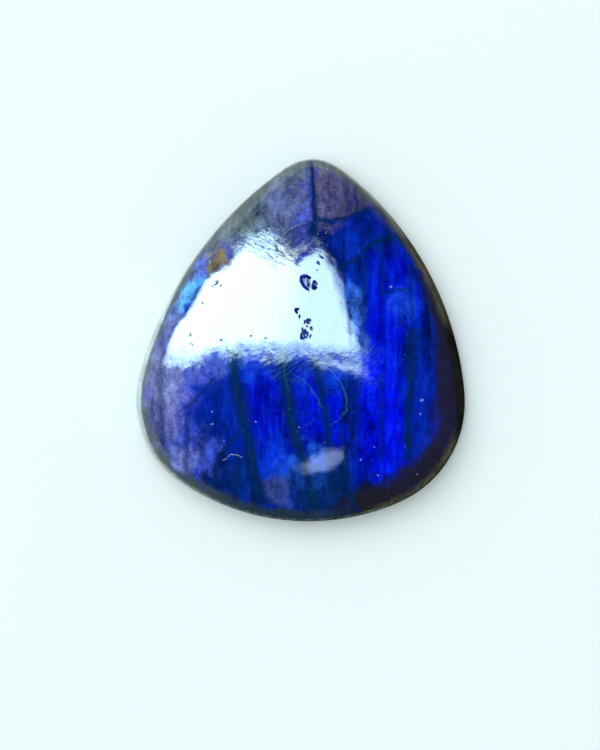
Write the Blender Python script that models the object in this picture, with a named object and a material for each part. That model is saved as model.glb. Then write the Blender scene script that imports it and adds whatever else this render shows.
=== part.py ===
"""A polished labradorite cabochon: one solid stone, lying on its flat back with the dome up.

Seen from above, its outline is three round corners joined by three long arcs. From the flat
back the side rounds up to the widest line, leans in as a narrow wall to the edge of the dome,
and the dome is the upper part of an ellipse over that edge. A few natural pits lie open in it.
Lengths are in metres. +Z is up, +Y points to the narrow tip, and the origin is the middle of
the flat back's bounding box.
"""

import math

import bmesh
import bpy
import numpy as np
from mathutils import Matrix, Vector
from mathutils.bvhtree import BVHTree

MM = 0.001

# Outline corners, counterclockwise from the tip: centre x, centre y, radius.
CORNERS = (
    (1.4 * MM, 15.9 * MM, 5.1 * MM),
    (-7.8 * MM, -6.9 * MM, 11.2 * MM),
    (6.5 * MM, -7.2 * MM, 12.5 * MM),
)
# Radius of the long arc that follows each corner: left side, bottom, right side.
SIDE_RADII = (42.8 * MM, 26.2 * MM, 36.5 * MM)
ARC_BLEND = math.radians(6)  # the polishing wheel runs each arc into the next over this angle

THICKNESS = 10.5 * MM
WIDEST_HEIGHT = 1.3 * MM
DOME_EDGE_HEIGHT = 3.9 * MM
BACK_INSET = 1.1 * MM  # the flat back ends this far inside the outline
WALL_BULGE = 0.12 * MM  # how far the wall stands out from a straight line

# How far the dome's edge sits inside the outline, and where the wall leans in more.
WALL_LEAN = 0.28 * MM
WIDER_LEANS = (  # direction, extra lean, spread
    (math.radians(-165), 0.42 * MM, math.radians(32)),
    (math.radians(8), 0.45 * MM, math.radians(58)),
    (math.radians(-15), 0.62 * MM, math.radians(16)),
)

DOME_CENTRE = Vector((-0.3 * MM, -2.2 * MM, 0.0))
DOME_CUT = 0.95  # the dome uses this share of its ellipse's half width, so its edge is crisp

# Natural open pits in the dome: place x, y, then width, length, depth and turn.
PITS = (
    (0.6 * MM, 6.5 * MM, 1.1 * MM, 1.6 * MM, 0.22 * MM, math.radians(20)),
    (1.6 * MM, 6.1 * MM, 0.55 * MM, 0.9 * MM, 0.14 * MM, math.radians(-10)),
    (-0.4 * MM, 3.2 * MM, 0.5 * MM, 0.5 * MM, 0.1 * MM, 0.0),
    (0.9 * MM, 2.0 * MM, 0.5 * MM, 0.4 * MM, 0.1 * MM, 0.0),
    (0.4 * MM, 0.5 * MM, 0.8 * MM, 1.0 * MM, 0.16 * MM, math.radians(-40)),
)

SEGMENTS = 96
OUTLINE_STEPS = 720
BACK_ROWS = 5
WALL_ROWS = 4
DOME_ROWS = 22
LAST_ROW = 0.03  # the ring round the dome's top, as a share of its width

STONE_COLOUR = (0.012, 0.018, 0.32, 1.0)
STONE_ROUGHNESS = 0.08


def clear_scene():
    for old in list(bpy.data.objects):
        bpy.data.objects.remove(old)


def side_centre(first, second, radius):
    """Centre of the long arc of this radius that both corner circles touch from inside."""
    start, end = Vector(first[:2]), Vector(second[:2])
    start_reach, end_reach = radius - first[2], radius - second[2]
    apart = (end - start).length
    along = (start_reach**2 - end_reach**2 + apart**2) / (2 * apart)
    across = math.sqrt(start_reach**2 - along**2)
    direction = (end - start) / apart
    return start + direction * along + Vector((-direction.y, direction.x)) * across


def arc_points(centre, radius, start, end):
    """Points each degree along an arc, counterclockwise from one direction to another."""
    first = math.atan2(start.y, start.x)
    sweep = (math.atan2(end.y, end.x) - first) % math.tau
    steps = max(round(math.degrees(sweep)), 4)
    angles = [first + sweep * step / steps for step in range(steps)]
    return [centre + Vector((math.cos(angle), math.sin(angle))) * radius for angle in angles]


def outline_points():
    """The six arcs in turn: a corner leaves each side where the line of centres crosses it."""
    sides = [side_centre(CORNERS[i], CORNERS[(i + 1) % 3], SIDE_RADII[i]) for i in range(3)]
    points = []
    for i, (x, y, radius) in enumerate(CORNERS):
        corner, following = Vector((x, y)), Vector(CORNERS[(i + 1) % 3][:2])
        points += arc_points(corner, radius, corner - sides[i - 1], corner - sides[i])
        points += arc_points(sides[i], SIDE_RADII[i], corner - sides[i], following - sides[i])
    return points


def outline_radii():
    """Distance from the origin to the outline at even steps of angle, with its arcs blended."""
    points = np.array(outline_points())
    angles = np.arctan2(points[:, 1], points[:, 0])
    even = np.arange(OUTLINE_STEPS) * math.tau / OUTLINE_STEPS
    radii = np.interp(even, angles, np.hypot(points[:, 0], points[:, 1]), period=math.tau)
    reach = round(ARC_BLEND / math.tau * OUTLINE_STEPS)
    window = np.hanning(2 * reach + 3)[1:-1]
    wrapped = np.concatenate((radii[-reach:], radii, radii[:reach]))
    return np.convolve(wrapped, window / window.sum(), mode="valid")


OUTLINE = outline_radii()


def outline_radius(angle):
    steps = np.arange(OUTLINE_STEPS) * math.tau / OUTLINE_STEPS
    return float(np.interp(angle % math.tau, steps, OUTLINE, period=math.tau))


def wall_lean(angle):
    """How far the dome's edge sits inside the outline in this direction."""
    lean = WALL_LEAN
    for towards, extra, spread in WIDER_LEANS:
        turn = abs((angle - towards + math.pi) % math.tau - math.pi)
        lean += extra * math.exp(-((turn / spread) ** 2))
    return lean


def inside_outline(angle, inset, height):
    radius = outline_radius(angle) - inset
    return Vector((radius * math.cos(angle), radius * math.sin(angle), height))


def back_point(angle, share):
    """On the quarter round from the flat back, at share 0, to the widest line, at share 1."""
    turn = share * math.pi / 2
    inset = BACK_INSET * (1 - math.sin(turn))
    return inside_outline(angle, inset, WIDEST_HEIGHT * (1 - math.cos(turn)))


def wall_point(angle, share):
    """On the wall from the widest line, at share 0, to the dome's edge, at share 1."""
    inset = wall_lean(angle) * share - WALL_BULGE * math.sin(share * math.pi) * share
    return inside_outline(angle, inset, WIDEST_HEIGHT + (DOME_EDGE_HEIGHT - WIDEST_HEIGHT) * share)


def dome_height(share):
    """Height of the dome at this share of the way from its centre to its edge."""
    lowest = math.sqrt(1 - DOME_CUT**2)
    rise = (math.sqrt(1 - (DOME_CUT * share) ** 2) - lowest) / (1 - lowest)
    return DOME_EDGE_HEIGHT + (THICKNESS - DOME_EDGE_HEIGHT) * rise


def raise_ring(build, ring, place):
    """Extrudes a ring of edges and moves each new vertex to place(its old position)."""
    made = bmesh.ops.extrude_edge_only(build, edges=ring)["geom"]
    for vert in (item for item in made if isinstance(item, bmesh.types.BMVert)):
        vert.co = place(vert.co)
    return [item for item in made if isinstance(item, bmesh.types.BMEdge)]


def build_sides(build, ring):
    """From the rim of the flat back up to the dome's edge."""
    for section, rows in ((back_point, BACK_ROWS), (wall_point, WALL_ROWS)):
        for row in range(1, rows + 1):
            ring = raise_ring(build, ring, lambda co: section(math.atan2(co.y, co.x), row / rows))
    return ring


def build_dome(build, ring):
    """Rings that close in on the dome's centre, nearer together where it curves most."""
    last = 1.0
    for row in range(1, DOME_ROWS + 1):
        share = max(math.cos(math.pi / 2 * row / DOME_ROWS), LAST_ROW)

        def closer(co):
            flat = DOME_CENTRE + (co - DOME_CENTRE) * (share / last)
            return Vector((flat.x, flat.y, dome_height(share)))

        ring = raise_ring(build, ring, closer)
        last = share
    cap = bmesh.ops.contextual_create(build, geom=ring)["faces"]
    top = bmesh.ops.poke(build, faces=cap)["verts"][0]
    top.co = (DOME_CENTRE.x, DOME_CENTRE.y, dome_height(0.0))


def build_stone():
    """The flat back as one face, and everything above it extruded from its rim."""
    build = bmesh.new()
    rim = bmesh.ops.create_circle(build, cap_ends=True, segments=SEGMENTS, radius=BACK_INSET)["verts"]
    for vert in rim:
        vert.co = back_point(math.atan2(vert.co.y, vert.co.x), 0.0)
    build_dome(build, build_sides(build, list(build.edges)))
    bmesh.ops.recalc_face_normals(build, faces=build.faces)
    return build


def build_pit_cutters(stone):
    """A flattened ball for each pit, sunk into the dome square to its surface."""
    surface = BVHTree.FromBMesh(stone)
    build = bmesh.new()
    for x, y, width, length, depth, turn in PITS:
        point, normal, _, _ = surface.ray_cast(Vector((x, y, 2 * THICKNESS)), Vector((0, 0, -1)))
        lean = Vector((0, 0, 1)).rotation_difference(normal).to_matrix().to_4x4()
        size = Matrix.Diagonal((width / 2, length / 2, depth, 1.0))
        place = Matrix.Translation(point) @ lean @ Matrix.Rotation(turn, 4, "Z") @ size
        bmesh.ops.create_icosphere(build, subdivisions=2, radius=1.0, matrix=place)
    return build


def object_from(build, name):
    mesh = bpy.data.meshes.new(name)
    build.to_mesh(mesh)
    made = bpy.data.objects.new(name, mesh)
    bpy.context.scene.collection.objects.link(made)
    return made


def stone_material():
    material = bpy.data.materials.new("polished labradorite")
    material.use_nodes = True
    shader = material.node_tree.nodes["Principled BSDF"]
    shader.inputs["Base Color"].default_value = STONE_COLOUR
    shader.inputs["Roughness"].default_value = STONE_ROUGHNESS
    return material


def main():
    clear_scene()
    build = build_stone()
    stone = object_from(build, "labradorite_stone")
    stone.data.materials.append(stone_material())
    stone.data.shade_smooth()
    cutter = object_from(build_pit_cutters(build), "pit_cutter")
    cutter.hide_render = True
    cutter.display_type = "WIRE"
    cut = stone.modifiers.new("pits", "BOOLEAN")
    cut.operation = "DIFFERENCE"
    cut.object = cutter


main()
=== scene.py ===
import functools
import math
from types import SimpleNamespace

import bmesh
import bpy
import numpy as np
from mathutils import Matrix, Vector


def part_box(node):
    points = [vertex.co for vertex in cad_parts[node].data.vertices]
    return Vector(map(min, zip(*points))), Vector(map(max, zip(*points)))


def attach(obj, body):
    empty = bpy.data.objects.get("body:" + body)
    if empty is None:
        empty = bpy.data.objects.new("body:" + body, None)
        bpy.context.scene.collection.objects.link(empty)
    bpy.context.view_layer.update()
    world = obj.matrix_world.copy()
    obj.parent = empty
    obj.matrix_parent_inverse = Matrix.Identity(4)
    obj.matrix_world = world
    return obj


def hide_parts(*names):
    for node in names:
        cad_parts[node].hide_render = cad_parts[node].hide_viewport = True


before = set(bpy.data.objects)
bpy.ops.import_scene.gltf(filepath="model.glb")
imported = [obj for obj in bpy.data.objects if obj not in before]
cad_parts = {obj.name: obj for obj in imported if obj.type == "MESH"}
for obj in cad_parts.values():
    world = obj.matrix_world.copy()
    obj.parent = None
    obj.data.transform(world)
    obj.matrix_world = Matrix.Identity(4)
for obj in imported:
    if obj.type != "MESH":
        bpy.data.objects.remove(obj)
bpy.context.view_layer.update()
mm = 0.001

# the stone's shape, in millimetres and degrees: the same named values as the solid's
stoneShape = {
    "corners": ((1.4, 15.9, 5.1), (-7.8, -6.9, 11.2), (6.5, -7.2, 12.5)),  # x, y, radius
    "sideRadii": (42.8, 26.2, 36.5),  # left side, bottom, right side
    "arcBlend": 6.0,
    "thickness": 10.5,
    "widestHeight": 1.3,
    "domeEdgeHeight": 3.9,
    "backInset": 1.1,
    "wallBulge": 0.12,
    "wallLean": 0.28,
    "widerLeans": ((-165, 0.42, 32), (8, 0.45, 58), (-15, 0.62, 16)),  # direction, extra, spread
    "domeCentre": (-0.3, -2.2),
    "domeCut": 0.95,
    "segments": 400,
    "backRows": 10,
    "wallRows": 16,
    "domeRows": 168,
    "lastRow": 0.04,
    "edgeSoftening": 6,  # rounds of smoothing over the dome's edge
    "edgeReach": 3,  # rings on either side that it takes in
}

# natural open pits, which the solid has too: x, y, width, length, depth, turn
stonePits = (
    (0.6, 6.5, 1.1, 1.6, 0.22, 20),
    (1.6, 6.1, 0.55, 0.9, 0.14, -10),
    (-0.4, 3.2, 0.5, 0.5, 0.1, 0),
    (0.9, 2.0, 0.5, 0.4, 0.1, 0),
    (0.4, 0.5, 0.8, 1.0, 0.16, -40),
)

# low unevenness that the polishing wheel left
polish = {
    "seed": 7,
    "waves": ((0.006, 9.0), (0.003, 3.6), (0.0014, 1.3), (0.0005, 0.7)),  # height and wavelength
    "perWave": 6,
    "above": 0.4,  # how far over the dome's edge it begins
    "fade": 1.0,
}

pitForm = {
    "lowest": 5.0,  # pits are on the dome alone
    "raggedness": ((0.16, 3), (0.1, 7)),  # size and count of the bumps round the rim
    "steepness": 2.2,
}


def tinyPit(x, y, size, depth):
    # a little longer one way, which differs from pit to pit
    return (x, y, size, size * 0.8, depth, math.degrees(x + y))


# pits too small for the solid: a trail between the large ones, a few above them and a few at the left
tinyPits = (
    tinyPit(-0.1, 2.5, 0.32, 0.06), tinyPit(0.5, 1.9, 0.3, 0.06), tinyPit(1.2, 1.2, 0.32, 0.05),
    tinyPit(0.2, 1.1, 0.26, 0.05), tinyPit(1.1, 0.3, 0.3, 0.06), tinyPit(0.7, 1.4, 0.22, 0.05),
    tinyPit(2.0, 8.7, 0.26, 0.05), tinyPit(2.3, 9.4, 0.22, 0.05), tinyPit(1.9, 7.9, 0.22, 0.05),
    tinyPit(-9.5, 6.5, 0.4, 0.06), tinyPit(-9.0, 6.2, 0.3, 0.05), tinyPit(-9.9, 6.2, 0.22, 0.05),
    tinyPit(-12.5, 0.5, 0.3, 0.05), tinyPit(-12.4, -0.5, 0.34, 0.05), tinyPit(-11.1, 4.1, 0.22, 0.04),
    tinyPit(-9.0, -0.2, 0.24, 0.04), tinyPit(-5.6, 0.3, 0.2, 0.04), tinyPit(-3.9, 0.1, 0.18, 0.04),
)


def sideCentre(first, second, radius):
    # centre of the long arc that both corner circles touch from inside
    start, end = Vector(first[:2]), Vector(second[:2])
    startReach, endReach = radius - first[2], radius - second[2]
    apart = (end - start).length
    along = (startReach**2 - endReach**2 + apart**2) / (2 * apart)
    across = math.sqrt(startReach**2 - along**2)
    direction = (end - start) / apart
    return start + direction * along + Vector((-direction.y, direction.x)) * across


def arcPoints(centre, radius, start, end):
    first = math.atan2(start.y, start.x)
    sweep = (math.atan2(end.y, end.x) - first) % math.tau
    steps = max(round(math.degrees(sweep)), 4)
    angles = [first + sweep * step / steps for step in range(steps)]
    return [centre + Vector((math.cos(angle), math.sin(angle))) * radius for angle in angles]


def outlineRadii(shape, steps=720):
    corners, radii = shape["corners"], shape["sideRadii"]
    sides = [sideCentre(corners[i], corners[(i + 1) % 3], radii[i]) for i in range(3)]
    points = []
    for i, (x, y, radius) in enumerate(corners):
        corner, following = Vector((x, y)), Vector(corners[(i + 1) % 3][:2])
        points += arcPoints(corner, radius, corner - sides[i - 1], corner - sides[i])
        points += arcPoints(sides[i], radii[i], corner - sides[i], following - sides[i])
    points = np.array(points)
    angles = np.arctan2(points[:, 1], points[:, 0])
    even = np.arange(steps) * math.tau / steps
    found = np.interp(even, angles, np.hypot(points[:, 0], points[:, 1]), period=math.tau)
    reach = round(shape["arcBlend"] / 360 * steps)
    window = np.hanning(2 * reach + 3)[1:-1]
    wrapped = np.concatenate((found[-reach:], found, found[:reach]))
    return even, np.convolve(wrapped, window / window.sum(), mode="valid")


outlineAngles, outlineReach = outlineRadii(stoneShape)


def insideOutline(angle, inset, height):
    radius = float(np.interp(angle % math.tau, outlineAngles, outlineReach, period=math.tau)) - inset
    return Vector((radius * math.cos(angle), radius * math.sin(angle), height))


def wallLean(angle, shape):
    lean = shape["wallLean"]
    for towards, extra, spread in shape["widerLeans"]:
        turn = abs((math.degrees(angle) - towards + 180) % 360 - 180)
        lean += extra * math.exp(-((turn / spread) ** 2))
    return lean


def backPoint(angle, share, shape):
    turn = share * math.pi / 2
    inset = shape["backInset"] * (1 - math.sin(turn))
    return insideOutline(angle, inset, shape["widestHeight"] * (1 - math.cos(turn)))


def wallPoint(angle, share, shape):
    bulge = shape["wallBulge"] * math.sin(share * math.pi) * share
    low, high = shape["widestHeight"], shape["domeEdgeHeight"]
    return insideOutline(angle, wallLean(angle, shape) * share - bulge, low + (high - low) * share)


def domeHeight(share, shape):
    cut, edge = shape["domeCut"], shape["domeEdgeHeight"]
    lowest = math.sqrt(1 - cut**2)
    rise = (math.sqrt(1 - (cut * share) ** 2) - lowest) / (1 - lowest)
    return edge + (shape["thickness"] - edge) * rise


def raiseRing(build, ring, place):
    made = bmesh.ops.extrude_edge_only(build, edges=ring)["geom"]
    for vert in made:
        if isinstance(vert, bmesh.types.BMVert):
            vert.co = place(vert.co)
    return [item for item in made if isinstance(item, bmesh.types.BMEdge)]


def buildStone(shape):
    # in millimetres: the flat back, then rings up its side, then rings that close in over the dome
    build = bmesh.new()
    rim = bmesh.ops.create_circle(build, cap_ends=True, segments=shape["segments"], radius=1.0)["verts"]
    for vert in rim:
        vert.co = backPoint(math.atan2(vert.co.y, vert.co.x), 0.0, shape)
    ring = list(build.edges)
    softened = []
    for section, rows in ((backPoint, shape["backRows"]), (wallPoint, shape["wallRows"])):
        for row in range(1, rows + 1):
            ring = raiseRing(build, ring, lambda co: section(math.atan2(co.y, co.x), row / rows, shape))
            if section is wallPoint and row > rows - shape["edgeReach"]:
                softened += {vert for edge in ring for vert in edge.verts}
    centre = Vector((*shape["domeCentre"], 0.0))
    last = 1.0
    for row in range(1, shape["domeRows"] + 1):
        share = 1 - (1 - shape["lastRow"]) * row / shape["domeRows"]

        def closer(co):
            flat = centre + (co - centre) * (share / last)
            return Vector((flat.x, flat.y, domeHeight(share, shape)))

        ring = raiseRing(build, ring, closer)
        last = share
        if row <= shape["edgeReach"]:
            softened += {vert for edge in ring for vert in edge.verts}
    cap = bmesh.ops.contextual_create(build, geom=ring)["faces"]
    top = bmesh.ops.poke(build, faces=cap)["verts"][0]
    top.co = (centre.x, centre.y, domeHeight(0.0, shape))
    for _ in range(shape["edgeSoftening"]):
        bmesh.ops.smooth_vert(
            build, verts=softened, factor=0.5, use_axis_x=True, use_axis_y=True, use_axis_z=True
        )
    bmesh.ops.recalc_face_normals(build, faces=build.faces)
    build.normal_update()
    return build


def sinkPits(build, pits, form):
    # each vertex inside a pit goes in along its own normal, with a ragged rim
    (coarse, coarseCount), (small, smallCount) = form["raggedness"]
    build.verts.ensure_lookup_table()
    places = np.array([vert.co for vert in build.verts])
    for x, y, width, length, depth, turn in pits:
        turned = math.radians(turn)
        apart = np.hypot(places[:, 0] - x, places[:, 1] - y)
        for index in np.flatnonzero((apart < max(width, length)) & (places[:, 2] > form["lowest"])):
            vert = build.verts[int(index)]
            dx, dy = vert.co.x - x, vert.co.y - y
            across = (dx * math.cos(turned) + dy * math.sin(turned)) / (width / 2)
            along = (-dx * math.sin(turned) + dy * math.cos(turned)) / (length / 2)
            way = math.atan2(along, across)
            ragged = 1 + coarse * math.sin(coarseCount * way + x) + small * math.sin(smallCount * way + y)
            reach = math.hypot(across, along) / ragged
            if reach < 1:
                vert.co -= vert.normal * depth * min(1.0, form["steepness"] * (1 - reach**2))


def unevenPolish(build, made, shape):
    # seeded waves in every direction, which move the dome along its normals
    chance = np.random.default_rng(made["seed"])
    waves = []
    for height, length in made["waves"]:
        for _ in range(made["perWave"]):
            way, phase = chance.uniform(0, math.tau, 2)
            waves.append((height / made["perWave"] ** 0.5, math.tau / length, way, phase))
    low, top = shape["domeEdgeHeight"] + made["above"], shape["thickness"]
    verts = [vert for vert in build.verts if vert.co.z > low]
    places = np.array([vert.co[:2] for vert in verts])
    shift = np.zeros(len(verts))
    for height, pitch, way, phase in waves:
        shift += height * np.sin((places @ (math.cos(way), math.sin(way))) * pitch + phase)
    for vert, move in zip(verts, shift):
        fade = min(1.0, (vert.co.z - low) / made["fade"])
        vert.co += vert.normal * float(move) * fade
        vert.co.z = min(vert.co.z, top)


# shader maths written as sums: an expression on wires adds its Math nodes
class Wire:
    def __init__(self, recipe, socket):
        self.recipe, self.socket = recipe, socket

    def math(self, operation, *others):
        return self.recipe.node("ShaderNodeMath", {"operation": operation}, dict(enumerate(others)))

    def __add__(self, other):
        return self.math("ADD", self, other)

    def __radd__(self, other):
        return self.math("ADD", other, self)

    def __sub__(self, other):
        return self.math("SUBTRACT", self, other)

    def __rsub__(self, other):
        return self.math("SUBTRACT", other, self)

    def __mul__(self, other):
        return self.math("MULTIPLY", self, other)

    def __rmul__(self, other):
        return self.math("MULTIPLY", other, self)

    def __truediv__(self, other):
        return self.math("DIVIDE", self, other)

    def __abs__(self):
        return self.math("ABSOLUTE", self)

    def larger(self, other):
        return self.math("MAXIMUM", self, other)


curveSpan = 48  # millimetres that a path's curve spans, which is past the stone on every side

# a line's soft band and its darker core: the widths from the middle at which each begins and is full,
# and its share of the darkness
seamForm = ((2.2, 0.2, 0.78), (0.7, 0.0, 0.22))


class Recipe:
    def __init__(self, name):
        self.material = bpy.data.materials.new(name)
        self.material.use_nodes = True
        self.tree = self.material.node_tree
        self.shader = self.tree.nodes["Principled BSDF"]

    # any node: its type, its settings, what goes into its sockets, and which output is wanted
    def node(self, kind, settings, inputs, output=0):
        made = self.tree.nodes.new(kind)
        for name, value in settings.items():
            if name == "points":
                self.drawCurve(made, value)
            else:
                setattr(made, name, value)
        for socket, value in inputs.items():
            self.feed(made, socket, value)
        return Wire(self, made.outputs[output])

    def feed(self, made, socket, value):
        if isinstance(value, Wire):
            self.tree.links.new(value.socket, made.inputs[socket])
        else:
            made.inputs[socket].default_value = value

    def drawCurve(self, made, points):
        curve = made.mapping.curves[0]
        curve.points[0].location, curve.points[1].location = points[0], points[-1]
        for x, y in points[1:-1]:
            curve.points.new(x, y)
        for point in curve.points:
            point.handle_type = "VECTOR"
        made.mapping.update()

    def step(self, value, start, end):
        settings = {"interpolation_type": "SMOOTHSTEP"}
        return self.node("ShaderNodeMapRange", settings, {0: value, 1: start, 2: end, 3: 0.0, 4: 1.0})

    def mix(self, amount, first, second):
        return self.node("ShaderNodeMix", {"data_type": "RGBA"}, {0: amount, 6: first, 7: second}, 2)

    def scale(self, colour, amount):
        # a Mix from black that may go past 1, because Vector Math takes more of Cycles' room
        settings = {"data_type": "RGBA", "clamp_factor": False}
        return self.node("ShaderNodeMix", settings, {0: amount, 6: (0, 0, 0, 1), 7: colour}, 2)

    def noise(self, place, pitch, stretch=(1, 1, 1), detail=2.0, shift=0.0):
        # about one lump for each pitch millimetres
        scale = tuple(share / pitch for share in stretch)
        scaled = self.node("ShaderNodeVectorMath", {"operation": "MULTIPLY"}, {0: place, 1: scale})
        moved = self.node("ShaderNodeVectorMath", {"operation": "ADD"}, {0: scaled, 1: (shift,) * 3})
        return self.node("ShaderNodeTexNoise", {}, {"Vector": moved, "Scale": 1.0, "Detail": detail})

    def flat(self, x, y):
        return self.node("ShaderNodeCombineXYZ", {}, {0: x, 1: y, 2: 0.0})

    def patch(self, place, centre, radii, turn, soft):
        # 1 inside a turned ellipse on the flat place, fading to 0 over its edge
        own = self.node("ShaderNodeMapping", {"vector_type": "TEXTURE"}, {
            "Vector": place, "Location": (*centre, 0.0), "Rotation": (0.0, 0.0, math.radians(turn)),
            "Scale": (radii[0] * (1 + soft), radii[1] * (1 + soft), 1.0),
        })
        ball = {"gradient_type": "SPHERICAL"}
        inwards = self.node("ShaderNodeTexGradient", ball, {"Vector": own}, "Fac")
        return self.step(inwards, 0.0, 2 * soft / (1 + soft))

    def turned(self, place, angle):
        about = {"rotation_type": "Z_AXIS"}
        return self.node("ShaderNodeVectorRotate", about, {"Vector": place, "Angle": angle})

    def line(self, along, path):
        # the across value of a path of (along, across) points, in millimetres
        half = curveSpan / 2
        points = [((a + half) / curveSpan, (c + half) / curveSpan) for a, c in sorted(path)]
        share = (along + half) / curveSpan
        return self.node("ShaderNodeFloatCurve", {"points": points}, {"Value": share}) * curveSpan - half

    def beside(self, along, across, path, soft=0.2):
        # 1 on the side of the path where across is larger
        return self.step(across - self.line(along, path), -soft, soft)

    def seam(self, along, across, path, width, fade=0.8):
        # a soft band along the path, darkest along its middle
        gap = abs(across - self.line(along, path))
        first, last = min(path)[0], max(path)[0]
        ends = self.step(along, first - fade, first) * self.step(along, last + fade, last)
        band, core = (
            self.step(gap, width * begin, width * full) * share for begin, full, share in seamForm
        )
        return (band + core) * ends

    def dust(self, place, pitch, radius, share, shift):
        # small spots: one in a cell of pitch millimetres, in this share of the cells
        scaled = self.node("ShaderNodeVectorMath", {"operation": "SCALE"}, {0: place, "Scale": 1 / pitch})
        moved = self.node("ShaderNodeVectorMath", {"operation": "ADD"}, {0: scaled, 1: (shift,) * 3})
        cells = self.node("ShaderNodeTexVoronoi", {}, {"Vector": moved, "Scale": 1.0})
        cellColour = Wire(self, cells.socket.node.outputs["Color"])
        chance = self.node("ShaderNodeSeparateColor", {}, {0: cellColour})
        spot = self.step(cells, radius / pitch, radius / pitch * 0.3)
        return spot * self.step(chance, share, share - 0.05)


# cleavage lines that run down the stone: (y, x) points, width, darkness
downLines = {
    "farLeft": (((-8.7, -12.9), (-15.4, -13.0)), 0.28, 0.6),
    "rimLeft": (((-6.8, -17.0), (-12.6, -17.2)), 0.3, 0.55),
    "longLeft": (((1.1, -15.8), (-12.6, -15.8)), 0.3, 0.5),
    "diagonal": (((-4.7, -10.0), (-6.3, -11.4), (-7.8, -13.1)), 0.34, 0.6),
    "main": (((-1.4, -7.4), (-3.7, -7.5), (-5.8, -7.2), (-7.5, -6.8), (-9.8, -6.4), (-11.9, -5.7),
              (-14.5, -5.5), (-16.6, -4.7), (-18.3, -4.3)), 0.58, 1.0),
    "mainBranch": (((-10.4, -6.7), (-12.4, -8.6), (-14.0, -9.6), (-15.9, -9.8)), 0.26, 0.75),
    "mainTwig": (((-13.4, -7.2), (-15.9, -7.3), (-18.3, -7.6)), 0.28, 0.75),
    "middle": (((-1.8, -2.1), (-4.0, -1.7), (-6.1, -1.4), (-8.9, -1.0), (-11.4, -0.5), (-13.6, 0.3),
                (-15.9, 0.9), (-18.9, 1.6)), 0.56, 1.0),
    "middleTwig": (((-15.2, -0.9), (-16.9, -0.4), (-18.3, 0.3), (-19.7, 0.6)), 0.24, 0.7),
    "rightOfMiddle": (((-2.5, 1.7), (-5.0, 2.2), (-6.9, 2.5), (-10.4, 3.1), (-13.2, 3.3),
                       (-16.9, 3.9)), 0.42, 0.9),
    "crescent": (((-13.0, 5.1), (-14.8, 4.9), (-17.2, 5.4), (-19.4, 6.3)), 0.3, 0.9),
    "shortRight": (((-4.7, 4.9), (-7.5, 5.2), (-8.9, 4.7), (-11.5, 4.6)), 0.26, 0.6),
    "longRight": (((1.1, 12.5), (-4.7, 12.5), (-9.0, 12.1), (-13.1, 12.2)), 0.42, 0.9),
    "farRight": (((7.8, 12.5), (-1.1, 12.8)), 0.26, 0.5),
    "nearRight": (((8.4, 7.2), (-1.1, 7.1)), 0.3, 0.55),
    "faintRight": (((-4.3, 9.0), (-13.3, 9.1)), 0.34, 0.4),
    "shoulder": (((11.6, 9.3), (5.6, 9.2)), 0.26, 0.6),
    "tip": (((20.5, 1.2), (18.8, 1.4), (16.4, 1.5), (13.7, 1.6), (11.3, 1.8), (9.8, 1.9),
             (8.1, 2.0)), 0.24, 1.0),
    "tipRight": (((18.2, 5.3), (15.1, 5.3)), 0.2, 0.6),
    "tipFarRight": (((17.4, 6.2), (15.6, 6.4), (14.3, 6.5)), 0.2, 0.75),
}

# fractures across the stone: (x, y) points, width, darkness
acrossLines = {
    "upper": (((1.8, 13.6), (3.2, 13.6), (5.0, 13.6), (5.7, 14.1), (6.6, 14.6), (7.8, 15.0), (8.7, 15.0),
               (9.4, 14.2)), 0.26, 0.85),
    "lower": (((4.1, 7.8), (5.0, 8.4), (5.7, 8.8), (6.8, 9.4), (7.6, 10.6), (8.6, 11.1), (9.8, 11.6),
               (10.9, 11.9), (11.5, 11.2)), 0.26, 0.85),
    "short": (((9.2, 5.2), (11.0, 5.5), (12.4, 5.7)), 0.2, 0.6),
    "arc": (((-2.4, 10.0), (-2.0, 11.2), (-1.4, 12.1), (-0.5, 12.7), (0.5, 12.9),
             (1.6, 13.2)), 0.16, 0.5),
}

# pale marks on the surface, and a painted highlight along the arc fracture's edge: (x, y) points, width,
# strength
paleMarks = {
    "fibre": (((-8.2, -13.3), (-7.9, -13.0), (-7.3, -13.1), (-6.6, -13.3)), 0.035, 1.0),
    "fibreEnd": (((-8.7, -13.6), (-8.4, -13.45)), 0.035, 0.9),
    "scratch": (((-1.0, 0.7), (-0.4, 0.0), (0.8, -1.1), (1.7, -1.9), (2.7, -3.0),
                 (3.6, -3.7)), 0.045, 0.6),
    # painted highlight along the arc fracture's edge
    "arcEdgeHighlight": (((-2.5, 10.2), (-2.1, 11.4), (-1.5, 12.3), (-0.6, 12.9), (0.6, 13.1)), 0.07, 0.3),
}

# pale hairlines below the reflection, fine scratches painted with the light they scatter: (y, x) points,
# width, strength
scatterHairlines = {
    "loop": (((-2.5, 2.2), (-3.7, 3.6), (-5.0, 4.6), (-6.5, 5.2), (-8.0, 5.2), (-8.9, 4.4),
              (-9.4, 3.6)), 0.07, 0.6),
    "inner": (((-4.0, -0.6), (-4.9, 0.7), (-6.2, 1.6), (-7.6, 2.5)), 0.09, 0.35),
    "innerEnd": (((-9.2, 1.3), (-9.7, 0.5)), 0.07, 0.4),
    "fork": (((-0.9, 7.9), (-2.5, 6.7), (-4.2, 6.3)), 0.08, 0.6),
    "upright": (((-1.4, -1.9), (-3.9, -1.9), (-5.7, -1.3)), 0.06, 0.3),
}

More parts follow.
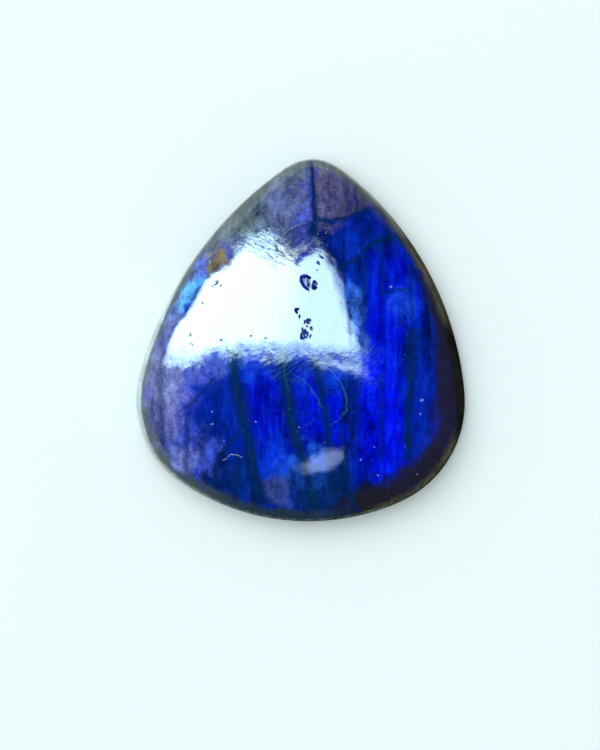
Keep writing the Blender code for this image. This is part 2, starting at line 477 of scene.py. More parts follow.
# colours of the stone, as linear red, green, blue
stoneColours = {
    "cobalt": (0.0006, 0.0045, 0.82, 1),
    "bright": (0.002, 0.04, 0.72, 1),
    "halo": (0.014, 0.095, 0.64, 1),
    "brightRoyal": (0.0015, 0.021, 0.45, 1),
    "tealStreak": (0.003, 0.065, 0.4, 1),
    "paleViolet": (0.2, 0.24, 0.5, 1),
    "haze": (0.03, 0.15, 0.74, 1),
    "greyViolet": (0.13, 0.155, 0.4, 1),
    "deepCobalt": (0.0008, 0.004, 0.5, 1),
    "royal": (0.001, 0.02, 0.36, 1),
    "navy": (0.0006, 0.009, 0.14, 1),
    "iris": (0.05, 0.095, 0.56, 1),
    "violet": (0.125, 0.14, 0.5, 1),
    "periwinkle": (0.1, 0.15, 0.78, 1),
    "slate": (0.12, 0.18, 0.26, 1),
    "mauve": (0.085, 0.078, 0.16, 1),
    "plum": (0.03, 0.03, 0.12, 1),
    "lilac": (0.12, 0.15, 0.36, 1),
    "tan": (0.27, 0.25, 0.3, 1),
    "azure": (0.12, 0.36, 1.0, 1),
    "cyan": (0.1, 0.52, 1.0, 1),
    "gold": (0.24, 0.2, 0.05, 1),
    "greyGreen": (0.105, 0.15, 0.13, 1),
    "deepGreen": (0.018, 0.042, 0.044, 1),
    "brown": (0.019, 0.017, 0.024, 1),
    # painted light where the rim at the right catches the light
    "litRimKhaki": (0.11, 0.1, 0.05, 1),
    "teal": (0.001, 0.022, 0.11, 1),
    "abyss": (0.002, 0.006, 0.03, 1),
    "dusk": (0.045, 0.075, 0.25, 1),
    "seam": (0.001, 0.02, 0.105, 1),
    "vein": (0.01, 0.06, 0.08, 1),
    "flake": (0.3, 0.46, 0.4, 1),
    "speck": (0.35, 0.5, 0.85, 1),
    # hair: pale grains, and the painted scattered light below the reflection
    "hair": (0.06, 0.22, 0.46, 1),
    # painted shade inside the pits
    "pit": (0.006, 0.008, 0.13, 1),
    "wall": (0.15, 0.19, 0.165, 1),
    # painted reflection of the pale floor on the left wall
    "floorReflectionWall": (0.5, 0.68, 0.74, 1),
    # painted shade for the wall at the middle right
    "shadedWall": (0.008, 0.006, 0.007, 1),
}

# zones inside the stone, laid over each other in turn: colour, centre, radii, turn, strength, how
# grained they are, and the side of the fractures that they keep to
stoneZones = (
    ("royal", (-8.6, -8.4), (2.6, 7.0), 0, 0.8, 0.3, "any"),
    ("deepCobalt", (-4.2, -7.2), (2.5, 5.6), 0, 0.9, 0.2, "any"),
    ("deepCobalt", (0.4, -7.4), (2.4, 5.6), 0, 0.8, 0.2, "any"),
    ("cobalt", (3.1, -9.4), (1.5, 4.2), 0, 0.85, 0.2, "any"),
    ("brightRoyal", (14.5, -7.6), (1.9, 5.8), 0, 0.85, 0.3, "any"),
    ("cobalt", (9.2, -8.2), (3.0, 8.6), 0, 1.0, 0, "any"),
    ("cobalt", (10.4, 3.8), (3.0, 4.2), 0, 0.85, 0, "below"),
    ("deepCobalt", (10.2, 8.2), (2.6, 2.4), 0, 0.75, 0, "below"),
    ("bright", (-6.4, -3.4), (3.0, 1.5), 0, 0.7, 0.5, "any"),
    ("bright", (3.6, -4.2), (2.0, 2.0), 0, 0.6, 0.5, "any"),
    ("haze", (-8.4, -2.8), (1.8, 0.9), 0, 0.6, 0.5, "any"),
    ("haze", (6.2, 2.8), (1.1, 3.2), 8, 0.95, 0.7, "below"),
    ("halo", (11.4, 3.8), (1.6, 1.9), 0, 0.5, 1, "below"),
    ("navy", (5.7, -8.6), (0.9, 4.4), 0, 0.8, 0, "any"),
    ("teal", (-7.4, -16.4), (3.6, 3.0), 0, 0.55, 0.2, "any"),
    ("teal", (2.8, -17.6), (3.6, 2.6), 0, 0.85, 0.2, "any"),
    ("bright", (-3.2, -13.9), (2.4, 1.8), 0, 0.8, 0.4, "any"),
    ("dusk", (-2.6, -17.1), (1.6, 2.2), 0, 0.75, 0.6, "any"),
    ("halo", (0.5, -14.6), (2.6, 2.0), 10, 0.95, 0.3, "any"),
    ("abyss", (8.4, -18.3), (3.6, 2.1), 20, 0.9, 0, "any"),
    ("violet", (-15.2, -6.0), (2.5, 5.4), 0, 0.85, 1, "any"),
    ("greyViolet", (-16.2, -8.6), (1.8, 4.4), 10, 0.7, 1, "any"),
    ("iris", (-12.2, -12.8), (3.0, 3.0), 30, 0.8, 1, "any"),
    ("violet", (-13.4, -2.4), (4.2, 2.6), 0, 0.75, 1, "any"),
    ("iris", (-11.6, -3.8), (2.4, 2.0), 0, 0.55, 0.6, "any"),
    ("paleViolet", (-15.4, -3.8), (1.8, 4.2), 0, 0.7, 0.8, "any"),
    ("paleViolet", (-13.8, -13.8), (1.6, 1.8), 40, 0.55, 0.8, "any"),
    # slate and grey green at the upper left: the stone's grey, partly painted with the pale room's
    # reflection
    ("slate", (-5.4, 14.4), (4.8, 3.6), -35, 0.95, 0.8, "left"),
    ("greyGreen", (-7.6, 12.8), (1.8, 3.6), -38, 0.8, 0.9, "left"),
    ("greyGreen", (-1.8, 18.8), (3.4, 2.0), 25, 0.85, 0.8, "left"),
    ("lilac", (-1.4, 15.0), (2.3, 3.4), 0, 0.85, 1, "left"),
    ("periwinkle", (0.5, 14.0), (0.9, 1.7), 0, 0.7, 0.4, "left"),
    ("mauve", (3.8, 16.8), (3.8, 5.0), 0, 0.95, 0.9, "above"),
    ("plum", (6.4, 17.0), (1.3, 4.0), 0, 0.5, 0.5, "above"),
    ("lilac", (2.5, 15.2), (0.9, 1.8), 0, 0.5, 0.8, "above"),
    ("tan", (2.6, 19.4), (1.5, 1.0), 0, 0.4, 0.7, "above"),
    ("mauve", (3.2, 13.0), (1.6, 0.9), 0, 0.65, 0.7, "between"),
    ("royal", (8.4, 12.2), (2.2, 1.6), 0, 0.75, 0.3, "between"),
    ("navy", (-0.1, 11.3), (2.2, 1.9), 0, 0.55, 0.3, "inside"),
    ("tan", (-0.9, 9.6), (1.7, 1.1), 0, 0.9, 0.9, "left"),
    ("lilac", (-8.2, 10.1), (2.0, 1.7), 0, 0.7, 0.9, "left"),
    ("azure", (-12.5, 6.1), (1.3, 3.2), -31, 0.95, 0.3, "any"),
    ("periwinkle", (-11.5, 8.3), (0.8, 1.4), -31, 0.7, 0.3, "any"),
    ("greyViolet", (-14.9, 2.2), (1.2, 1.7), -31, 0.85, 0.8, "any"),
    ("cyan", (-12.8, 5.4), (0.9, 2.1), -31, 0.9, 0, "any"),
    ("gold", (-9.9, 8.3), (1.2, 1.7), -30, 1.0, 0.5, "any"),
)

# worn places where the polish spreads the light: centre, radii, turn, strength
stoneWear = (
    ((-3.2, -1.3), (6.0, 1.1), -2, 0.8),
    ((3.2, -2.6), (3.4, 0.8), -22, 0.2),
    ((6.6, -3.0), (1.2, 2.0), 12, 0.4),
    ((6.8, 2.2), (0.9, 4.0), 16, 0.3),
    ((-13.4, -2.0), (2.4, 1.1), 0, 0.9),
    ((-6.0, 11.4), (3.5, 2.0), -30, 0.9),
    ((0.0, 10.8), (2.3, 1.4), 0, 0.6),
)

# small bright flecks: x, y, radius
flecks = (
    (-10.0, -8.1, 0.12), (-9.9, -9.6, 0.11), (-8.7, -11.3, 0.1), (-5.0, -9.3, 0.12), (-0.2, -9.8, 0.1),
    (13.7, -6.8, 0.2), (13.6, -8.5, 0.13), (8.2, -12.1, 0.12), (6.7, -13.6, 0.12), (10.2, 5.9, 0.18),
    (-10.3, 8.8, 0.2), (8.8, -15.3, 0.12), (-10.8, -2.8, 0.14), (-15.5, -4.6, 0.13), (13.4, -15.3, 0.12),
)


# noises through the stone: pitch in millimetres, stretch, detail and shift
noiseKinds = {
    "bands": (1.5, (1, 0.1, 0.1), 5.0, 5.0),  # upright layering, wide and then fine
    "streaks": (0.42, (1, 0.14, 0.14), 4.0, 13.0),
    "clouds": (2.4, (1, 0.7, 0.7), 6.0, 21.0),
    "mottle": (0.7, (1, 0.6, 0.6), 5.0, 55.0),
    "grain": (0.24, (0.7, 1.2, 1), 4.0, 3.0),
    "fine": (0.14, (1, 1, 1), 2.0, 61.0),
}
noiseMiddle = 0.5

# how noise bends the places of zones, by a millimetre or so, and of lines, by a tenth or two:
# pitch, detail, shift and strength
wander = {
    "wideX": (2.0, 6.0, 0.0, 5.0),
    "wideY": (2.0, 6.0, 40.0, 6.0),
    "lineX": (1.3, 5.0, 9.0, 0.8),
    "lineY": (1.3, 5.0, 70.0, 0.8),
}

# masks from two noises: the share of each, and where the step from 0 to 1 starts and ends
blends = {
    "speckled": ({"grain": 0.65, "fine": 0.35}, (0.38, 0.6)),
    "blotches": ({"clouds": 0.4, "mottle": 0.6}, (0.42, 0.58)),
    "ground": ({"bands": 0.7, "clouds": 0.3}, (0.4, 0.58)),
    "tealStreaks": ({"streaks": 0.6, "clouds": 0.4}, (0.5, 0.6)),
    "pitGrit": ({"fine": 0.5, "grain": 0.5}, (0.44, 0.5)),
}

# spots: pitch, radius, share of the cells that hold one, and shift
specks = {
    "grains": (0.5, 0.1, 0.5, 4.0),
    "flakes": (0.3, 0.09, 0.6, 30.0),
    "dust": (1.3, 0.09, 0.4, 0.0),
    "fineDust": (0.6, 0.06, 0.45, 8.0),
    "stipple": (0.42, 0.09, 0.8, 17.0),
}


def largest(masks):
    return functools.reduce(Wire.larger, masks)


def blend(r, at, name):
    shares, limits = blends[name]
    first, second = (getattr(at, noise) * share for noise, share in shares.items())
    return r.step(first + second, *limits)


def vary(at, start, depths):
    # start, raised and lowered by noises
    for name, depth in depths.items():
        start = start + (getattr(at, name) - noiseMiddle) * depth
    return start


def stonePlaces(r):
    # what the stages share: places in millimetres, as they are and bent, noises and masks
    at = SimpleNamespace()
    objectPlace = r.node("ShaderNodeTexCoord", {}, {}, "Object")
    at.place = r.node("ShaderNodeVectorMath", {"operation": "SCALE"}, {0: objectPlace, "Scale": 1 / mm})
    at.x, at.y, at.z = (r.node("ShaderNodeSeparateXYZ", {}, {0: at.place}, axis) for axis in range(3))
    for name, (pitch, detail, shift, strength) in wander.items():
        straight = at.x if name.endswith("X") else at.y
        bend = r.noise(at.place, pitch, detail=detail, shift=shift) - noiseMiddle
        setattr(at, name, straight + bend * strength)
    at.wide, at.narrow = r.flat(at.wideX, at.wideY), r.flat(at.lineX, at.lineY)
    for name, settings in noiseKinds.items():
        setattr(at, name, r.noise(at.place, *settings))
    at.speckled, at.blotches = blend(r, at, "speckled"), blend(r, at, "blotches")
    return at


def fractureSides(r, at):
    # where the stone lies against the upright crack in its tip and the fractures across it
    right = r.beside(at.y, at.lineX, downLines["tip"][0])
    overUpper, overLower, overArc = (
        r.beside(at.x, at.lineY, acrossLines[name][0]) for name in ("upper", "lower", "arc")
    )
    return {
        "left": 1 - right, "above": right * overUpper, "between": right * overLower * (1 - overUpper),
        "below": 1 - overLower, "inside": (1 - right) * (1 - overArc),
    }


flash = {
    "zoneSoftness": 0.5,
    "grainLoss": 0.5,  # what a grained zone loses where it is neither speckled nor blotched
    "grainGain": 0.35,
    "streakBody": ((4.0, -3.5), (11.5, 15.0), 0, 0.3),  # centre, radii, turn, softness
    "streakStrength": 0.2,
    "tone": {"bands": 1.3, "clouds": 1.5, "streaks": 0.8, "mottle": 1.3, "grain": 1.3},
    "leastTone": 0.15,
}


def flashColour(r, at, colours):
    # blue ground in upright bands, then the zones over it
    sides = fractureSides(r, at)
    colour = r.mix(blend(r, at, "ground"), colours["navy"], colours["royal"])
    for name, centre, radii, turn, strength, grained, side in stoneZones:
        zone = r.patch(at.wide, centre, radii, turn, flash["zoneSoftness"]) * strength
        if side in sides:
            zone = zone * sides[side]
        if grained:
            gain = grained * flash["grainGain"]
            zone = zone * (1 - grained * flash["grainLoss"] + at.speckled * gain + at.blotches * gain)
        colour = r.mix(zone, colour, colours[name])
    streaked = blend(r, at, "tealStreaks") * r.patch(at.wide, *flash["streakBody"])
    colour = r.mix(streaked * flash["streakStrength"], colour, colours["tealStreak"])
    return r.scale(colour, vary(at, 1, flash["tone"]).larger(flash["leastTone"]))


# the dome's margin and the wall: a pair of places or heights says where a part begins and where it is full
margin = {
    "rightWay": (0.94, 0.34),  # a direction to the right and down
    "right": (8.5, 13.0),  # millimetres that way
    "rimWay": (0.94, 0.1),
    "rimRight": (3.5, 8.5),
    "midRightTop": (4.0, 0.0),
    "midRightFoot": (-14.0, -9.5),
    "thinUneven": {"clouds": 2.0, "mottle": 0.8},
    "brownUneven": {"clouds": 1.2, "mottle": 0.6},
    "brownNarrows": (-8.0, 3.0),
    "brownHeight": (7.0, 5.9),
    "brownStrength": 0.92,
    "low": (-11.0, -15.5),
    "lowRise": 0.5,
    "greenHeight": (5.2, 4.1),
    "greenStrength": 0.88,
    "darkStrength": 0.9,
    "khakiUneven": {"mottle": 2.2, "grain": 1.2},
    "khakiHeight": (4.8, 4.0),
    "leftX": (-12.5, -16.0),
    "leftY": (-13.0, -9.0),
    "wallHeight": (4.15, 3.75),
    "wallTone": {"bands": 1.2, "clouds": 1.6, "mottle": 1.0},
    "paleSpeckle": 0.35,
}


def marginColour(r, at, colours, colour):
    # where the dome thins towards its edge, by height: brown at the right, grey green elsewhere
    thin = vary(at, at.z, margin["thinUneven"])
    rightward, downward = margin["rightWay"]
    at.toRight = r.step(at.x * rightward - at.y * downward, *margin["right"])
    rightward, upward = margin["rimWay"]
    at.rimRight = r.step(at.wideX * rightward + at.wideY * upward, *margin["rimRight"])
    underTop = at.toRight * r.step(at.wideY, *margin["midRightTop"])
    at.midRight = underTop * r.step(at.wideY, *margin["midRightFoot"])
    brownHeight = vary(at, at.z, margin["brownUneven"]) + r.step(at.y, *margin["brownNarrows"])
    brown = r.step(brownHeight, *margin["brownHeight"]) * at.toRight
    colour = r.mix(brown * margin["brownStrength"], colour, colours["brown"])
    low = r.step(at.y, *margin["low"])
    green = r.step(thin - low * margin["lowRise"], *margin["greenHeight"]) * (1 - at.toRight)
    darker = at.rimRight.larger(low)
    edge = r.mix(0.4 + at.blotches * 0.5, colours["deepGreen"], colours["greyGreen"])
    edge = r.mix(darker * margin["darkStrength"], edge, colours["deepGreen"])
    colour = r.mix(green * margin["greenStrength"], colour, edge)
    # a khaki band near the right rim, painted light where the rim catches the light
    litRimKhaki = r.step(vary(at, at.z, margin["khakiUneven"]), *margin["khakiHeight"])
    litRimKhaki = litRimKhaki * at.rimRight * (1 - at.midRight)
    return r.mix(litRimKhaki * (0.3 + at.blotches * 0.6), colour, colours["litRimKhaki"])


def wallColour(r, at, colours):
    # plain grey green stone below the dome's edge, with a painted reflection of the pale floor at the left,
    # and at the right a khaki rim painted as lit and a painted shadow where the wall is dark
    toLeft = r.step(at.wideX, *margin["leftX"]) * r.step(at.wideY, *margin["leftY"])
    stone = r.mix(0.25 + at.blotches * 0.75, colours["deepGreen"], colours["wall"])
    # painted reflection of the pale floor on the left wall, speckled with the grey green stone
    pale = r.mix(at.speckled * margin["paleSpeckle"], colours["floorReflectionWall"], colours["wall"])
    colour = r.mix(toLeft, stone, pale)
    # painted light: the right rim as lit, in khaki
    colour = r.mix(at.rimRight * (0.6 + at.blotches * 0.4), colour, colours["litRimKhaki"])
    # painted shade where the wall is dark at the middle of the right
    colour = r.mix(at.midRight * (0.8 + at.blotches * 0.2), colour, colours["shadedWall"])
    at.wall = r.step(at.z, *margin["wallHeight"])
    return r.scale(colour, vary(at, 1, margin["wallTone"]))


lineLook = {
    # places that are dark beside the lines: centre, radii, turn, softness, and then darkness
    "shades": ((((-6.3, -8.4), (0.7, 4.8), 8, 0.7), 0.6), (((6.3, -7.2), (0.7, 3.2), 0, 0.7), 0.3)),
    "onWall": 0.45,  # how much darkness the lines lose on the wall
    "veins": ("main", "middle"),
    "veinWidth": 0.16,
    "veinStrength": 0.3,
    "grainsFrom": (0.12, 0.3),  # darkness at which pale grains begin and are full
    "grainStrength": 0.5,
    "flakePlace": ((2.4, 12.4), (0.7, 2.2), 0, 0.6),
    "flakeStrength": 0.8,
}


def lineColour(r, at, colours, colour):
    # dark lines with soft bands beside them, and pale grains caught in them
    dark = largest(r.seam(at.y, at.lineX, path, width) * depth for path, width, depth in downLines.values())
    for path, width, depth in acrossLines.values():
        dark = dark.larger(r.seam(at.x, at.lineY, path, width) * depth)
    for shade, depth in lineLook["shades"]:
        dark = dark.larger(r.patch(at.narrow, *shade) * depth)
    dark = dark * (0.62 + at.mottle * 0.9) * (1 - at.wall * lineLook["onWall"])
    colour = r.mix(dark, colour, colours["seam"])
    veinWidth = lineLook["veinWidth"]
    vein = largest(r.seam(at.y, at.lineX, downLines[name][0], veinWidth) for name in lineLook["veins"])
    colour = r.mix(vein * at.blotches * lineLook["veinStrength"], colour, colours["vein"])
    grains = r.step(dark, *lineLook["grainsFrom"]) * r.dust(at.place, *specks["grains"])
    colour = r.mix(grains * lineLook["grainStrength"], colour, colours["hair"])
    flakes = r.patch(at.narrow, *lineLook["flakePlace"]) * r.dust(at.place, *specks["flakes"])
    return r.mix(flakes * lineLook["flakeStrength"], colour, colours["flake"])


wearLook = {
    "softness": 0.8,
    "brushTurn": -0.6,  # radians
    "brushNoise": (0.2, (0.16, 1, 1), 3.0, 90.0),
    "brushStep": (0.4, 0.62),
    "hairlineFade": 0.3,
    "markFade": 0.1,
    # where the painted haze of scattered light lies, and its strength
    "scatterPlace": ((-0.6, -2.2), (7.8, 1.7), -4, 0.9),
    "scatterStrength": 0.3,
    "fineDustShare": 0.6,
    "dustStrength": 0.4,
    "stippleFrom": (-6.0, -10.0),  # x at which the dark stipple begins and is full
    "stippleStrength": 0.4,
    "fleckShape": (0.8, 0.65),
    "fleckTurn": 40,
    "fleckSoftness": 0.9,
}


def wearAndScatterColour(r, at, colours, colour):
    # worn polish, painted scattered light in fine pale hairs and a haze below the reflection, dust and
    # flecks
    at.worn = largest(
        r.patch(at.wide, centre, radii, turn, wearLook["softness"]) * strength
        for centre, radii, turn, strength in stoneWear
    )
    at.brushed = r.noise(r.turned(at.place, wearLook["brushTurn"]), *wearLook["brushNoise"])
    at.brush = r.step(at.brushed, *wearLook["brushStep"])
    # fine scratches painted with the light they scatter below the reflection
    hairlineScatter = largest(
        r.seam(at.lineY, at.lineX, path, width, wearLook["hairlineFade"]) * strength
        for path, width, strength in scatterHairlines.values()
    )
    colour = r.mix(hairlineScatter * (0.2 + at.mottle), colour, colours["hair"])
    # a painted haze of scattered light along the reflection's lower edge
    paintedScatter = r.patch(at.wide, *wearLook["scatterPlace"]) * at.brush
    colour = r.mix(paintedScatter * wearLook["scatterStrength"], colour, colours["hair"])
    at.marks = largest(
        r.seam(at.x, at.lineY, path, width, wearLook["markFade"]) * strength
        for path, width, strength in paleMarks.values()
    )
    colour = r.mix(at.marks, colour, colours["flake"])
    dust, fineDust = r.dust(at.place, *specks["dust"]), r.dust(at.place, *specks["fineDust"])
    dust = dust + fineDust * wearLook["fineDustShare"]
    colour = r.mix(dust * wearLook["dustStrength"], colour, colours["speck"])
    stipple = r.dust(at.place, *specks["stipple"]) * r.step(at.x, *wearLook["stippleFrom"])
    colour = r.mix(stipple * wearLook["stippleStrength"], colour, colours["navy"])
    broad, narrow = wearLook["fleckShape"]
    bright = largest(
        r.patch(at.narrow, (x, y), (radius * broad, radius * narrow), x * wearLook["fleckTurn"],
                wearLook["fleckSoftness"])
        for x, y, radius in flecks
    )
    return r.mix(bright * (0.2 + at.fine), colour, colours["speck"])


pitLook = {"share": 0.55, "softness": 0.25, "glint": (0.6, 0.68)}


def paintedPitShade(r, at, colours, colour):
    # pits are painted dark as shade in their hollows, with a few painted pale glints
    share = pitLook["share"]
    holes = largest(
        r.patch(at.narrow, (x, y), (width * share, length * share), turn, pitLook["softness"])
        for x, y, width, length, _, turn in stonePits + tinyPits
    )
    at.pitted = holes * blend(r, at, "pitGrit")
    inside = r.mix(r.step(at.grain, *pitLook["glint"]), colours["pit"], colours["speck"])
    return r.mix(at.pitted, colour, inside)


surface = {
    "ior": 1.56,
    "polished": 0.025,  # roughness, and what each of these adds to it
    "grained": 0.04,
    "worn": 0.1,
    "brushed": 0.2,
    "wall": 0.07,
    "ground": 0.4,
    "groundHeight": (0.4, 0.1),  # the back is ground flat, not polished
    "pitRoughness": 0.7,
    "markDullness": 0.5,
    "bumpStrength": 0.4,
    "bumpDistance": 0.00003,  # metres
    "ridgeTurn": 0.6,  # radians
    "ridgeNoise": (0.34, (0.2, 1, 1), 2.0, 120.0),
    "ridgePlace": ((-4.4, 10.5), (3.4, 1.6), -28, 0.8),
    "ridgeHeight": 2.6,
    "brushHeight": 0.4,
}


def polishBump(r, at):
    # fine unevenness of the polish, and the wavy ridges by the upper left edge of the reflection
    ridges = r.noise(r.turned(at.place, surface["ridgeTurn"]), *surface["ridgeNoise"])
    combed = r.patch(at.wide, *surface["ridgePlace"])
    relief = (at.grain * 0.6 + at.fine * 0.4) * (0.3 + at.worn * 0.9)
    relief = relief + at.brushed * at.worn * surface["brushHeight"]
    relief = relief + ridges * combed * surface["ridgeHeight"]
    return r.node("ShaderNodeBump", {}, {
        "Strength": surface["bumpStrength"], "Distance": surface["bumpDistance"], "Height": relief,
    })


def labradorite(colours):
    # Cycles has little room left for a shader of this size, and one that is too large comes out black
    r = Recipe("polishedLabradorite")
    at = stonePlaces(r)
    colour = flashColour(r, at, colours)
    colour = marginColour(r, at, colours, colour)
    wallTint = wallColour(r, at, colours)
    colour = r.mix(at.wall, colour, wallTint)
    colour = lineColour(r, at, colours, colour)
    colour = wearAndScatterColour(r, at, colours, colour)
    colour = paintedPitShade(r, at, colours, colour)
    bump = polishBump(r, at)
    r.feed(r.shader, "Base Color", colour)
    ground = r.step(at.z, *surface["groundHeight"])
    rough = surface["polished"] + at.grain * surface["grained"]
    rough = rough + at.worn * (surface["worn"] + at.brush * surface["brushed"])
    rough = rough + at.wall * surface["wall"] + ground * surface["ground"]
    r.feed(r.shader, "Roughness", rough)
    r.feed(r.shader, "Normal", bump)
    r.feed(r.shader, "IOR", surface["ior"])
    dull = r.node("ShaderNodeBsdfPrincipled", {}, {
        "Base Color": colour, "Roughness": surface["pitRoughness"], "Specular IOR Level": 0.0,
    }, "BSDF")
    polished = Wire(r, r.shader.outputs["BSDF"])
    dullness = at.pitted.larger(at.marks * surface["markDullness"])
    both = r.node("ShaderNodeMixShader", {}, {0: dullness, 1: polished, 2: dull})
    r.feed(r.tree.nodes["Material Output"], "Surface", both)
    return r.material


def objectFrom(build, name, scale=1.0):
    bmesh.ops.scale(build, vec=(scale,) * 3, verts=build.verts)
    mesh = bpy.data.meshes.new(name)
    build.to_mesh(mesh)
    build.free()
    mesh.shade_smooth()
    made = bpy.data.objects.new(name, mesh)
    bpy.context.scene.collection.objects.link(made)
    return made


def fitInside(build, low, high):
    # the fine outline bulges a hair past the solid's flat facets, so it is drawn in to the solid's box
    for axis in range(3):
        reach = [vert.co[axis] * mm for vert in build.verts]
        ends = (low[axis], min(reach)), (high[axis], max(reach))
        shares = [limit / found for limit, found in ends if found]
        size = [1.0, 1.0, 1.0]
        size[axis] = min(1.0, *shares) if shares else 1.0
        bmesh.ops.scale(build, vec=size, verts=build.verts)


print("stone: shaping")
stoneBuild = buildStone(stoneShape)
sinkPits(stoneBuild, stonePits + tinyPits, pitForm)
unevenPolish(stoneBuild, polish, stoneShape)
fitInside(stoneBuild, *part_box("labradorite_stone"))
stone = objectFrom(stoneBuild, "polished_stone", mm)
print("stone: material")
stone.data.materials.append(labradorite(stoneColours))
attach(stone, "root")
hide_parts("labradorite_stone")

# studio: a pale floor, soft light, and two cards that only polished surfaces pick up
studio = {
    "floorColour": (0.9, 1.0, 1.0, 1),
    "floorSize": 3.0,
    "ambient": 0.63,
    "roomColour": (0.92, 0.98, 1.0, 1),
    "softPower": 4.8,
    "softSize": 0.9,
    "softPlace": (-0.35, 0.3, 0.8),
    "cardReach": 0.7,
    "flagFrom": -145,  # degrees round the stone
    "flagTo": 80,
    "flagStep": 3,
    "flagFade": 40,
    "flagUnder": 0.9,  # millimetres inside the outline
    "flagOver": 0.05,  # millimetres over the floor
    "flagReach": 150,  # how many times as far out its far side is
}

# cards by (direction, lean from straight up) of each corner, with the glow of their left and right
windowCard = {
    "corners": ((164, 84), (161, 88), (159, 88), (156, 80), (152, 78), (149, 79), (146, 79), (144, 75),
                (140, 65), (138, 68), (136, 72), (134, 69), (130, 57), (127, 47), (125, 36), (107, 27),
                (84, 28), (62, 33), (51, 35), (46, 35), (42, 33), (37, 30.4), (31, 28.4), (23.3, 27.1),
                (13.5, 28.2), (7.3, 28.6), (5.4, 21.9), (7.5, 15.5), (8.3, 7.8), (149, 4.4), (157.6, 17.4),
                (161.3, 32), (162.4, 46), (164.8, 55), (165.3, 67)),
    "middle": (134, 22),
    "fringe": 0.12,
    "glow": 36.0,
    "left": (0.56, 0.88, 1.0, 1),
    "right": (0.37, 0.56, 0.68, 1),
    "turnsAt": (-0.3, 0.08),  # metres from the middle
}
smallCard = {
    "corners": ((-94, 46), (-90, 41), (-79, 36), (-71, 38), (-74, 44), (-81, 50), (-91, 52)),
    "middle": (-82, 43),
    "fringe": 0.45,
    "glow": 7.0,
    "left": (0.5, 0.68, 1.0, 1),
    "right": (0.42, 0.62, 1.0, 1),
    "turnsAt": (-0.1, 0.2),
}


def plainMaterial(name, settings):
    r = Recipe(name)
    for socket, value in settings.items():
        r.feed(r.shader, socket, value)
    return r.material


def cardPoint(way, lean, reach):
    turn, fall = math.radians(way), math.radians(lean)
    out = reach * math.sin(fall)
    return Vector((out * math.cos(turn), out * math.sin(turn), reach * math.cos(fall)))


def hideFromRoom(made):
    # it shows in reflections alone
    made.visible_camera = False
    made.visible_diffuse = False
    made.visible_shadow = False


def glowCard(name, card, reach):
    # the glow fades out over the fringe
    build = bmesh.new()
    fadeLayer = build.verts.layers.float.new("fade")
    centre = cardPoint(*card["middle"], reach)
    outer = [build.verts.new(cardPoint(*corner, reach)) for corner in card["corners"]]
    ring = [build.edges.new((vert, outer[i - 1])) for i, vert in enumerate(outer)]
    ring = raiseRing(build, ring, lambda co: co + (centre - co) * card["fringe"])
    face = bmesh.ops.contextual_create(build, geom=ring)["faces"]
    bmesh.ops.poke(build, faces=face)["verts"][0].co = centre
    for vert in build.verts:
        vert[fadeLayer] = 0.0 if vert in outer else 1.0
    made = objectFrom(build, name)
    r = Recipe(name + "Glow")
    cardPlace = r.node("ShaderNodeTexCoord", {}, {}, "Object")
    across = r.node("ShaderNodeSeparateXYZ", {}, {0: cardPlace})
    tint = r.mix(r.step(across, *card["turnsAt"]), card["left"], card["right"])
    fade = r.node("ShaderNodeAttribute", {"attribute_name": "fade"}, {}, "Fac")
    r.feed(r.shader, "Base Color", (0, 0, 0, 1))
    r.feed(r.shader, "Specular IOR Level", 0.0)
    r.feed(r.shader, "Emission Color", r.mix(fade, (0, 0, 0, 1), tint))
    r.feed(r.shader, "Emission Strength", card["glow"])
    made.data.materials.append(r.material)
    hideFromRoom(made)
    return made


print("studio: floor and light")
floorBuild = bmesh.new()
bmesh.ops.create_grid(floorBuild, x_segments=1, y_segments=1, size=studio["floorSize"])
floor = objectFrom(floorBuild, "floor")
floor.data.materials.append(plainMaterial("paleFloor", {
    "Base Color": studio["floorColour"], "Roughness": 0.9, "Specular IOR Level": 0.0,
}))
glowCard("windowCard", windowCard, studio["cardReach"])
glowCard("smallCard", smallCard, studio["cardReach"])

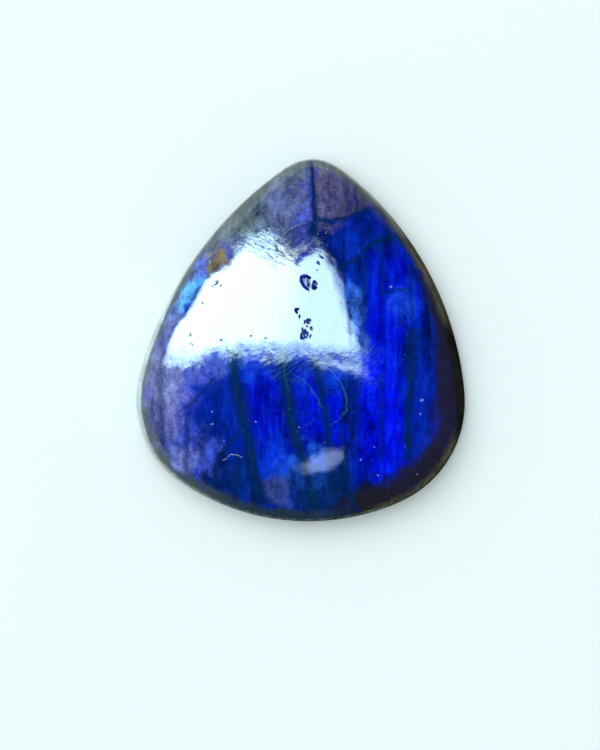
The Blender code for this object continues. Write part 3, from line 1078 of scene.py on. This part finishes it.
print("studio: black flag")
flagBuild = bmesh.new()
coverLayer = flagBuild.verts.layers.float.new("cover")
flagRim = []
for way in range(studio["flagFrom"], studio["flagTo"] + 1, studio["flagStep"]):
    under = insideOutline(math.radians(way), studio["flagUnder"], studio["flagOver"])
    vert = flagBuild.verts.new(under * mm)
    ends = min(way - studio["flagFrom"], studio["flagTo"] - way) / studio["flagFade"]
    vert[coverLayer] = min(1.0, ends)
    flagRim.append(vert)
flagEdges = [flagBuild.edges.new(pair) for pair in zip(flagRim, flagRim[1:])]
flagSpan = studio["flagReach"]
raiseRing(flagBuild, flagEdges, lambda co: Vector((co.x * flagSpan, co.y * flagSpan, co.z)))
flag = objectFrom(flagBuild, "blackFlag")
flagCloth = Recipe("blackFlagCloth")
flagCloth.feed(flagCloth.shader, "Base Color", (0, 0, 0, 1))
flagCloth.feed(flagCloth.shader, "Specular IOR Level", 0.0)
cover = flagCloth.node("ShaderNodeAttribute", {"attribute_name": "cover"}, {}, "Fac")
flagCloth.feed(flagCloth.shader, "Alpha", cover)
flag.data.materials.append(flagCloth.material)
hideFromRoom(flag)

softLight = bpy.data.lights.new("softLight", "AREA")
softLight.size = studio["softSize"]
softLight.energy = studio["softPower"]
softLamp = bpy.data.objects.new("softLamp", softLight)
softLamp.location = studio["softPlace"]
softLamp.rotation_euler = (-softLamp.location).to_track_quat("-Z", "Y").to_euler()
softLamp.visible_glossy = False
bpy.context.scene.collection.objects.link(softLamp)

# the room is pale to the camera and to matt surfaces, and dark in the stone's polish
world = bpy.data.worlds.new("room")
world.use_nodes = True
bpy.context.scene.world = world
roomTree = world.node_tree
background = roomTree.nodes["Background"]
lightPath = roomTree.nodes.new("ShaderNodeLightPath")
roomShade = roomTree.nodes.new("ShaderNodeMath")
roomShade.operation = "SUBTRACT"
roomShade.use_clamp = True
roomShade.inputs[0].default_value = studio["ambient"]
roomTree.links.new(lightPath.outputs["Is Glossy Ray"], roomShade.inputs[1])
roomTree.links.new(roomShade.outputs[0], background.inputs["Strength"])
background.inputs["Color"].default_value = studio["roomColour"]
bpy.context.scene.view_settings.view_transform = "Standard"

print("camera")
# in metres, and the sensor in millimetres: the picture's height spans tall at the height of plane
view = {"x": -0.00006, "y": -0.004, "height": 0.3013, "plane": 0.0013, "tall": 0.08663, "sensor": 36.0}
cameraData = bpy.data.cameras.new("viewFromAbove")
cameraData.sensor_width = view["sensor"]
cameraData.lens = view["sensor"] * (view["height"] - view["plane"]) / view["tall"]
cameraData.clip_start = 0.01
camera = bpy.data.objects.new("viewFromAbove", cameraData)
camera.location = (view["x"], view["y"], view["height"])
bpy.context.scene.collection.objects.link(camera)
bpy.context.scene.camera = camera

print("triangles", sum(len(face.vertices) - 2 for face in stone.data.polygons))
